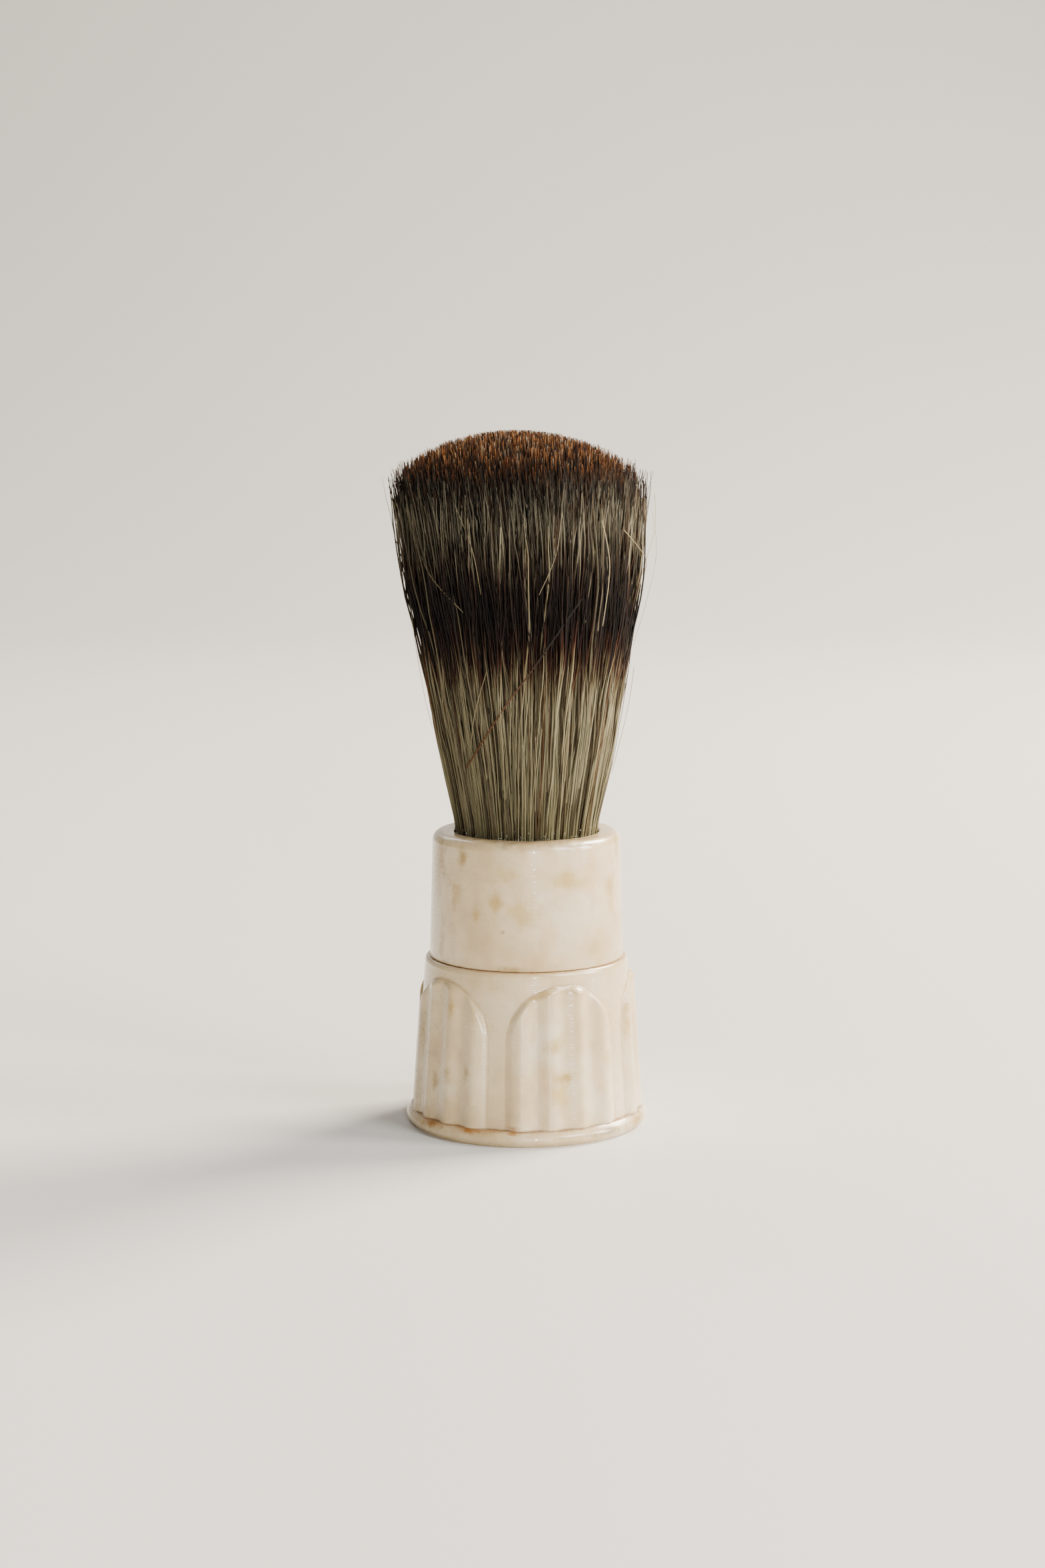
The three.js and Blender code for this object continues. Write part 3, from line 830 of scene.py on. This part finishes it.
    tilt = add_node(tree, "ShaderNodeMath", [share, 2.5], operation="POWER")
    tilt = add_node(tree, "ShaderNodeMath", [tilt, lean], operation="MULTIPLY")
    tilt = add_node(tree, "ShaderNodeCombineXYZ", [tilt])
    spot = add_node(tree, "ShaderNodeVectorMath", [spot, tilt], operation="ADD")

    # How far each point is from its tip is kept for the colours, and then the points move.
    gap = add_node(tree, "ShaderNodeMath", [top, height], operation="SUBTRACT")
    for name, value in (("tip_gap", gap), ("along", step)):
        value = {0: hairs, "Name": name, "Value": value}
        hairs = add_node(tree, "GeometryNodeStoreNamedAttribute", value)
    hairs = add_node(tree, "GeometryNodeSetPosition", {0: hairs, "Position": spot})
    step = add_node(tree, "GeometryNodeInputNamedAttribute", {"Name": "along"})
    taper = add_node(tree, "ShaderNodeMapRange", [step, 0.86, 1.0, 1.0, 0.48])
    girth = add_node(tree, "ShaderNodeMapRange", [read["strand_b"], 0.0, 1.0, 0.5, 1.45])
    thick = add_node(tree, "ShaderNodeMath", [taper, girth], operation="MULTIPLY")
    thick = add_node(tree, "ShaderNodeMath", [thick, width], operation="MULTIPLY")
    thick = add_node(tree, "ShaderNodeMath", [thick, 0.5], operation="MULTIPLY")
    section = add_node(tree, "GeometryNodeCurvePrimitiveCircle", {"Resolution": 3, "Radius": 1.0})
    skin = add_node(
        tree, "GeometryNodeCurveToMesh", {0: hairs, 1: section, "Scale": thick, "Fill Caps": True}
    )
    skin = add_node(tree, "GeometryNodeRealizeInstances", [skin])
    skin = add_node(tree, "GeometryNodeSetMaterial", {0: skin, "Material": finish})
    add_node(tree, "NodeGroupOutput", [skin])
    return tree


def banded_hair():
    """Undyed animal hair: keratin, faintly glossy along its length, banded by growth. The band edges
    fall at a different height on every hair, and odd hairs are dark or reddish all the way."""
    material, tree, place = blank_material("banded_hair")
    height = add_node(tree, "ShaderNodeSeparateXYZ", [place], output=2)
    strand = add_node(tree, "ShaderNodeAttribute", output=2, attribute_name="strand")
    strand_b = add_node(tree, "ShaderNodeAttribute", output=2, attribute_name="strand_b")
    tip = add_node(tree, "ShaderNodeAttribute", output=2, attribute_name="tip_gap")
    strand_c = add_node(tree, "ShaderNodeAttribute", output=2, attribute_name="strand_c")
    shift = add_node(tree, "ShaderNodeMapRange", [strand, 0.0, 1.0, -3.6 * mm, 3.6 * mm])
    level = add_node(tree, "ShaderNodeMath", [height, shift], operation="ADD")
    level = add_node(tree, "ShaderNodeMapRange", [level, hair_mouth, crown_height, 0.0, 1.0])
    # Above the grey, the darkest brown near the top is partly the hairs' own colour and partly painted shade
    # inside the dome.
    bands = ramp(
        add_node(tree, "ShaderNodeValToRGB", [level]),
        [
            (0.00, srgb("#989069")),
            (0.14, srgb("#ACA27E")),
            (0.36, srgb("#B5AB89")),
            (0.41, srgb("#8E7E5C")),
            (0.445, srgb("#57301E")),
            (0.50, srgb("#2A1A11")),
            (0.60, srgb("#24170F")),
            (0.67, srgb("#452F22")),
            (0.73, srgb("#91886F")),
            (0.81, srgb("#A49B83")),
            (0.86, srgb("#3A2A1E")),
            (0.91, srgb("#20130B")),
            (1.00, srgb("#3C2314")),
        ],
    )
    # Odd hairs are reddish, pale and unbanded, or dark all the way up.
    kinds = ramp(
        add_node(tree, "ShaderNodeValToRGB", [strand_b]),
        [
            (0.00, srgb("#A0603C")),
            (0.09, srgb("#FFFFFF")),
            (0.80, srgb("#6A5844")),
            (0.95, srgb("#FFFFFF")),
        ],
    )
    kinds.node.color_ramp.interpolation = "CONSTANT"
    colour = add_node(
        tree,
        "ShaderNodeMix",
        {0: 0.9, 6: bands, 7: kinds},
        output=2,
        data_type="RGBA",
        blend_type="MULTIPLY",
    )
    plain = add_node(tree, "ShaderNodeMath", [strand_b, 0.945], operation="GREATER_THAN")
    plain = add_node(tree, "ShaderNodeMath", [plain, 0.8], operation="MULTIPLY")
    colour = add_node(
        tree, "ShaderNodeMix", {0: plain, 6: colour, 7: srgb("#A89A78")}, output=2, data_type="RGBA"
    )
    least = add_node(tree, "ShaderNodeMapRange", [level, 0.1, 0.7, 0.84, 0.2])
    most = add_node(tree, "ShaderNodeMapRange", [level, 0.1, 0.7, 1.0, 1.5])
    shade = add_node(tree, "ShaderNodeMapRange", [strand_c, 0.0, 1.0, least, most])
    colour = add_node(tree, "ShaderNodeVectorMath", {0: colour, "Scale": shade}, operation="SCALE")
    # Cut tips, bleached by use and brightened further as a painted glow of light shining through them:
    # orange to straw, and only on the hairs that reach the dome, more so the higher they end.
    end = add_node(tree, "ShaderNodeMapRange", [tip, 0.2 * mm, 1.9 * mm, 1.0, 0.0])
    high = add_node(
        tree, "ShaderNodeMapRange", [height, crown_height - 8 * mm, crown_height - 4 * mm, 0.15, 0.74]
    )
    end = add_node(tree, "ShaderNodeMath", [end, high], operation="MULTIPLY")
    bright = add_node(tree, "ShaderNodeMapRange", [strand, 0.4, 0.8, 0.05, 1.0])
    end = add_node(tree, "ShaderNodeMath", [end, bright], operation="MULTIPLY")
    bleach_and_glow = ramp(
        add_node(tree, "ShaderNodeValToRGB", [strand_c]),
        [(0.0, srgb("#8A4A22")), (0.45, srgb("#C88242")), (0.75, srgb("#EDBB7A")), (1.0, srgb("#FBEFDC"))],
    )
    colour = add_node(tree, "ShaderNodeMix", {0: end, 6: colour, 7: bleach_and_glow}, output=2, data_type="RGBA")
    shader = add_node(
        tree,
        "ShaderNodeBsdfPrincipled",
        {"Base Color": colour, "Roughness": 0.42, "IOR": 1.5, "Specular IOR Level": 0.35},
    )
    # Light from behind passes through the thin fibre.
    glow = add_node(tree, "ShaderNodeBsdfTranslucent", [colour])
    shader = add_node(tree, "ShaderNodeMixShader", [0.52, shader, glow])
    add_node(tree, "ShaderNodeOutputMaterial", [shader])
    return material


hair_finish = banded_hair()
bundle = hair_tree()
hair_total = 14100
crown_foot = crown_height - 24 * mm
side_foot = hair_mouth - 1.0 * mm
hair_groups = [
    # name, first hair, hairs, points on each, foot height, sideways splay, own bend
    ("hair_crown_a", 0, 4600, 5, crown_foot, 2.5 * mm, 2.5 * mm),
    ("hair_crown_b", 4600, 4400, 5, crown_foot, 2.5 * mm, 2.5 * mm),
    ("hair_sides_a", 9000, 1700, 16, side_foot, 4.8 * mm, 3.5 * mm),
    ("hair_sides_b", 10700, 1700, 16, side_foot, 4.8 * mm, 3.5 * mm),
    ("hair_sides_c", 12400, 1700, 16, side_foot, 5.6 * mm, 4.0 * mm),
    ("hair_loose", 14000, 220, 20, side_foot, 6.0 * mm, 5.0 * mm),
]


for name, first, count, points, foot, splay, bend in hair_groups:
    piece = bpy.data.objects.new(name, bpy.data.meshes.new(name))
    bpy.context.scene.collection.objects.link(piece)
    piece.modifiers.new("hairs", "NODES").node_group = bundle
    applied(
        piece,
        {
            "Finish": hair_finish,
            "Hairs": count,
            "Hairs in whole knot": hair_total,
            "Points": points,
            "Seed": 23,
            "First hair": float(first),
            "Foot height": foot,
            "Mouth height": hair_mouth,
            "Mouth radius": mouth_radius,
            "Rim radius": rim_radius,
            "Crown height": crown_height,
            "Dome rise": dome_rise,
            "Belly": knot_belly,
            "Hair width": hair_width,
            "Clump drift": 2.6 * mm,
            "Own bend": bend,
            "Sideways splay": splay,
            "Ragged rim": 8.5 * mm,
            "Uneven tips": 3.5 * mm,
            "Lean": -1.5 * mm,
        },
    )
    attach(piece, "collar")
    if name == "hair_sides_b":
        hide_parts("hair_knot")


def knot_reach(height):
    """Radius of the knot at a height above the mouth."""
    share = min(1.0, (height - hair_mouth) / (crown_height - dome_rise - hair_mouth))
    return mouth_radius + (rim_radius - mouth_radius) * (share + knot_belly * math.sin(math.pi * share))


def shaded_hair():
    """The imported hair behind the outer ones: the same fibre in deep shade, streaked upwards. The
    streaks are nearly twice as wide as a hair, so that they show."""
    material, tree, place = blank_material("shaded_hair")
    fibre = 0.385 * mm
    streaks = add_node(tree, "ShaderNodeVectorMath", [place, (1, 1, 0.04)], operation="MULTIPLY")
    streaks = add_node(tree, "ShaderNodeTexNoise", {0: streaks, "Scale": 1 / fibre, "Detail": 2})
    height = add_node(tree, "ShaderNodeSeparateXYZ", [place], output=2)
    level = add_node(tree, "ShaderNodeMath", [streaks, 8 * mm, height], operation="MULTIPLY_ADD")
    level = add_node(tree, "ShaderNodeMapRange", [level, hair_mouth + 4 * mm, crown_height + 4 * mm])
    colour = ramp(
        add_node(tree, "ShaderNodeValToRGB", [level]),
        [(0.36, srgb("#9A9066")), (0.46, srgb("#1D120C")), (0.64, srgb("#1D120C")), (0.74, srgb("#3E3528"))],
    )
    bright = add_node(tree, "ShaderNodeMapRange", [streaks, 0.35, 0.65, 0.4, 1.0])
    colour = add_node(tree, "ShaderNodeVectorMath", {0: colour, "Scale": bright}, operation="SCALE")
    bump = add_node(tree, "ShaderNodeBump", {"Strength": 0.8, "Distance": 0.2 * mm, "Height": streaks})
    shader = add_node(
        tree, "ShaderNodeBsdfPrincipled", {"Base Color": colour, "Roughness": 0.7, "Normal": bump}
    )
    add_node(tree, "ShaderNodeOutputMaterial", [shader])
    return material


core_rows = 12
core_low = hair_mouth - 0.8 * mm
core_high = crown_height - dome_rise - 9 * mm
core_profile = [(0, core_low)]
for row in range(core_rows + 1):
    core_height = core_low + (core_high - core_low) * row / core_rows
    core_profile.append((0.9 * knot_reach(max(core_height, hair_mouth)), core_height))
core_profile += [(0.4 * rim_radius, core_high + 3.5 * mm), (0, core_high + 4 * mm)]
packed = turned("hair_core", core_profile, 96, closed=False)
packed.data.materials.append(shaded_hair())
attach(packed, "collar")

# Single hairs that have come loose, and dark tubes at the mouth that paint the shade in the gaps
# between the roots. Each has a few points (sideways, height, proud of the knot) and a width, all
# in millimetres, then its kind and its shade.
strays_and_root_gap_shade = [
    ([(8.3, 83.5, 0.5), (2.0, 74.5, 0.9), (-4.0, 66.0, 0.8), (-9.2, 57.2, 0.4)], 0.38, 0.03, 0.0),
    ([(-17.2, 92.5, 0.4), (-14.5, 86.5, 0.9), (-9.5, 81.2, 0.6)], 0.2, 0.97, 0.8),
    ([(-18.6, 90.0, 0.2), (-18.0, 83.0, 1.1), (-16.8, 74.0, 1.6), (-14.9, 62.0, 0.8)], 0.1, 0.97, 0.9),
    ([(20.2, 98.5, 0.7), (19.6, 93.0, 1.4), (17.6, 86.5, 0.8), (16.4, 80.0, 0.3)], 0.13, 0.97, 1.0),
    ([(20.3, 96.0, 0.6), (20.4, 90.0, 2.0), (18.9, 84.0, 1.8), (16.7, 75.0, 0.5)], 0.1, 0.97, 1.0),
    ([(14.5, 93.5, 0.6), (17.0, 90.5, 1.1), (18.3, 88.0, 0.8), (18.2, 83.0, 0.4)], 0.15, 0.97, 1.0),
    ([(16.6, 72.0, 1.2), (15.6, 65.0, 1.3), (13.2, 55.0, 0.7)], 0.1, 0.03, 0.8),
    ([(-19.9, 101.0, 1.0), (-19.8, 96.0, 0.7), (-18.6, 89.0, 0.2)], 0.16, 0.9, 0.4),
    ([(-20.4, 97.5, 1.8), (-19.6, 93.0, 1.0), (-18.0, 86.0, 0.3)], 0.13, 0.97, 0.9),
    ([(5.2, 96.5, 0.5), (4.3, 90.0, 0.7), (1.8, 84.0, 0.4)], 0.14, 0.97, 0.5),
    ([(-6.0, 72.5, 0.3), (-7.8, 66.0, 0.7), (-8.6, 60.0, 0.2)], 0.14, 0.97, 0.5),
    ([(-11.0, 98.0, 0.5), (-8.2, 91.0, 0.8), (-6.8, 84.0, 0.5)], 0.16, 0.97, 0.8),
    ([(11.2, 95.0, 0.4), (12.4, 88.0, 0.8), (11.4, 79.0, 0.4)], 0.16, 0.97, 1.0),
    # Painted shade: four dark tubes for the shadowed gaps between the hair roots.
    ([(-4.7, 46.3, 0.25), (-5.2, 50.0, 0.3), (-6.1, 56.0, 0.0)], 0.42, 0.9, 0.0),
    ([(-2.4, 46.3, 0.25), (-2.7, 49.5, 0.3), (-3.6, 54.0, 0.0)], 0.36, 0.9, 0.0),
    ([(2.9, 46.2, 0.25), (3.0, 50.0, 0.3), (3.6, 55.0, 0.0)], 0.4, 0.9, 0.0),
    ([(6.9, 46.6, 0.25), (7.4, 50.5, 0.3), (8.0, 54.0, 0.0)], 0.36, 0.9, 0.0),
]


def stray_and_gap_shade_mesh():
    """Thin three-sided tubes through the points, carrying the same values as the grown hairs."""
    verts, faces, values = [], [], []
    for points, width, kind, shade in strays_and_root_gap_shade:
        steps = 8 * (len(points) - 1)
        first = len(verts)
        for step in range(steps + 1):
            at = step / 8
            one = min(int(at), len(points) - 2)
            part = at - one
            before, start = points[max(one - 1, 0)], points[one]
            end, after = points[one + 1], points[min(one + 2, len(points) - 1)]
            # A smooth curve through the four points around this step.
            across, height, proud = (
                0.5
                * (
                    2 * b
                    + (c - a) * part
                    + (2 * a - 5 * b + 4 * c - d) * part**2
                    + (3 * b - a - 3 * c + d) * part**3
                )
                for a, b, c, d in zip(before, start, end, after)
            )
            reach = knot_reach(height * mm) + proud * mm
            across = max(-reach, min(reach, across * mm))
            deep = -math.sqrt(reach**2 - across**2)
            half = width * mm * (0.3 if step in (0, steps) else 0.5)
            for corner in range(3):
                turn = 2 * math.pi * corner / 3
                verts.append((across + half * math.cos(turn), deep + half * math.sin(turn), height * mm))
                values.append((kind, shade))
            if step:
                now, last = first + 3 * step, first + 3 * step - 3
                faces += [(last + c, now + c, now + (c + 1) % 3, last + (c + 1) % 3) for c in range(3)]
        faces += [(first, first + 1, first + 2), (len(verts) - 1, len(verts) - 2, len(verts) - 3)]
    mesh = bpy.data.meshes.new("hair_strays")
    mesh.from_pydata(verts, [], faces)
    for name in ("strand", "strand_b", "strand_c", "tip_gap"):
        mesh.attributes.new(name, "FLOAT", "POINT")
    for at, (kind, shade) in enumerate(values):
        mesh.attributes["strand"].data[at].value = 0.5
        mesh.attributes["strand_b"].data[at].value = kind
        mesh.attributes["strand_c"].data[at].value = shade
        mesh.attributes["tip_gap"].data[at].value = 1.0
    return mesh


strays_and_gap_shade = bpy.data.objects.new("hair_strays", stray_and_gap_shade_mesh())
bpy.context.scene.collection.objects.link(strays_and_gap_shade)
strays_and_gap_shade.data.materials.append(hair_finish)
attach(strays_and_gap_shade, "collar")

# ---- Soap flecks -------------------------------------------------------------------------------
# Dried lather caught between the hair roots and on the collar's rim, in crumbs well under a
# millimetre across.

fleck_count = 320


def dried_lather():
    """Soap lather dried to a chalky crumb: off-white and matte, mottled where it has crazed."""
    material, tree, place = blank_material("dried_lather")
    crumb = 0.42 * mm
    crazed = add_node(tree, "ShaderNodeTexNoise", {0: place, "Scale": 1 / crumb})
    chalk = ramp(
        add_node(tree, "ShaderNodeValToRGB", [crazed]),
        [(0.3, srgb("#C6C1B2")), (0.7, srgb("#DAD7CD"))],
    )
    shader = add_node(tree, "ShaderNodeBsdfPrincipled", {"Base Color": chalk, "Roughness": 0.8})
    add_node(tree, "ShaderNodeOutputMaterial", [shader])
    return material


fleck_chance = random.Random(5)
fleck_verts, fleck_faces = [], []
for _ in range(fleck_count):
    turn = fleck_chance.uniform(0, 2 * math.pi)
    reach = mouth_radius + fleck_chance.uniform(0.0, 0.55) * mm
    height = hair_mouth + fleck_chance.uniform(-0.05, 1.3) ** 2 * 0.8 * mm
    half = fleck_chance.uniform(0.02, 0.09) * mm
    middle = (reach * math.sin(turn), -reach * math.cos(turn), height)
    first = len(fleck_verts)
    for side in ((1, 0, 0), (0, 1, 0), (-1, 0, 0), (0, -1, 0), (0, 0, 1), (0, 0, -1)):
        size = half * fleck_chance.uniform(0.6, 1.4)
        fleck_verts.append(tuple(m + size * way for m, way in zip(middle, side)))
    for corner in range(4):
        after = (corner + 1) % 4
        fleck_faces.append((first + corner, first + after, first + 4))
        fleck_faces.append((first + after, first + corner, first + 5))
fleck_mesh = bpy.data.meshes.new("soap_flecks")
fleck_mesh.from_pydata(fleck_verts, [], fleck_faces)
flecks = bpy.data.objects.new("soap_flecks", fleck_mesh)
bpy.context.scene.collection.objects.link(flecks)
fleck_mesh.materials.append(dried_lather())
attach(flecks, "collar")

# ---- Floor, light and camera -------------------------------------------------------------------
# A plain pale sheet that sweeps up behind, lit by soft windows at the right, behind and in front.

floor_mesh = bpy.data.meshes.new("pale_sheet")
floor_reach, sweep_start, sweep_radius = 3.0, 0.9, 0.7
sweep = [(-floor_reach, 0.0)]
for step in range(25):
    rise = math.pi / 2 * step / 24
    sweep.append((sweep_start + sweep_radius * math.sin(rise), sweep_radius * (1 - math.cos(rise))))
sweep.append((sweep_start + sweep_radius, floor_reach))
floor_mesh.from_pydata(
    [(side * floor_reach, back, up) for back, up in sweep for side in (-1, 1)],
    [],
    [(2 * i, 2 * i + 1, 2 * i + 3, 2 * i + 2) for i in range(len(sweep) - 1)],
)
floor_mesh.shade_smooth()
floor = bpy.data.objects.new("pale_sheet", floor_mesh)
bpy.context.scene.collection.objects.link(floor)
paint = bpy.data.materials.new("pale_table")
paint.use_nodes = True
paint.node_tree.nodes.clear()
coat = add_node(
    paint.node_tree, "ShaderNodeBsdfPrincipled", {"Base Color": srgb("#D8D5D0"), "Roughness": 0.6}
)
add_node(paint.node_tree, "ShaderNodeOutputMaterial", [coat])
floor_mesh.materials.append(paint)

world = bpy.data.worlds.new("pale_room")
bpy.context.scene.world = world
world.use_nodes = True
world.node_tree.nodes.clear()
air = add_node(world.node_tree, "ShaderNodeBackground", [srgb("#E4E4E2"), 0.16])
add_node(world.node_tree, "ShaderNodeOutputWorld", [air])


def window(name, azimuth, elevation, distance, width, height, power, tint):
    """A soft rectangular light, aimed at the middle of the brush."""
    lamp = bpy.data.lights.new(name, "AREA")
    lamp.shape = "RECTANGLE"
    lamp.size = width
    lamp.size_y = height
    lamp.energy = power
    lamp.color = srgb(tint)[:3]
    holder = bpy.data.objects.new(name, lamp)
    bpy.context.scene.collection.objects.link(holder)
    turn, tilt = math.radians(azimuth), math.radians(elevation)
    holder.location = (
        distance * math.cos(tilt) * math.sin(turn),
        -distance * math.cos(tilt) * math.cos(turn),
        0.055 + distance * math.sin(tilt),
    )
    holder.rotation_euler = (math.pi / 2 - tilt, 0, turn)


window("front_window", 9, 8, 1.2, 0.035, 0.5, 8, "#FFFFFF")
window("room_window", 50, 34, 1.4, 0.5, 0.6, 17, "#FFFFFF")
window("back_window", 124, 40, 1.3, 0.6, 0.5, 61, "#FFF3E0")
window("side_fill", 80, 22, 1.3, 0.3, 0.6, 22, "#FFFBF4")
window("far_window", -150, 42, 1.3, 0.3, 0.8, 3, "#FFFFFF")

lens = bpy.data.cameras.new("camera")
lens.lens = 63.9
lens.sensor_width = 36
camera = bpy.data.objects.new("camera", lens)
bpy.context.scene.collection.objects.link(camera)
camera.location = (-0.63 * mm, -430 * mm, 113 * mm)
camera.rotation_euler = (math.radians(90 - 7.9), 0, 0)
bpy.context.scene.camera = camera
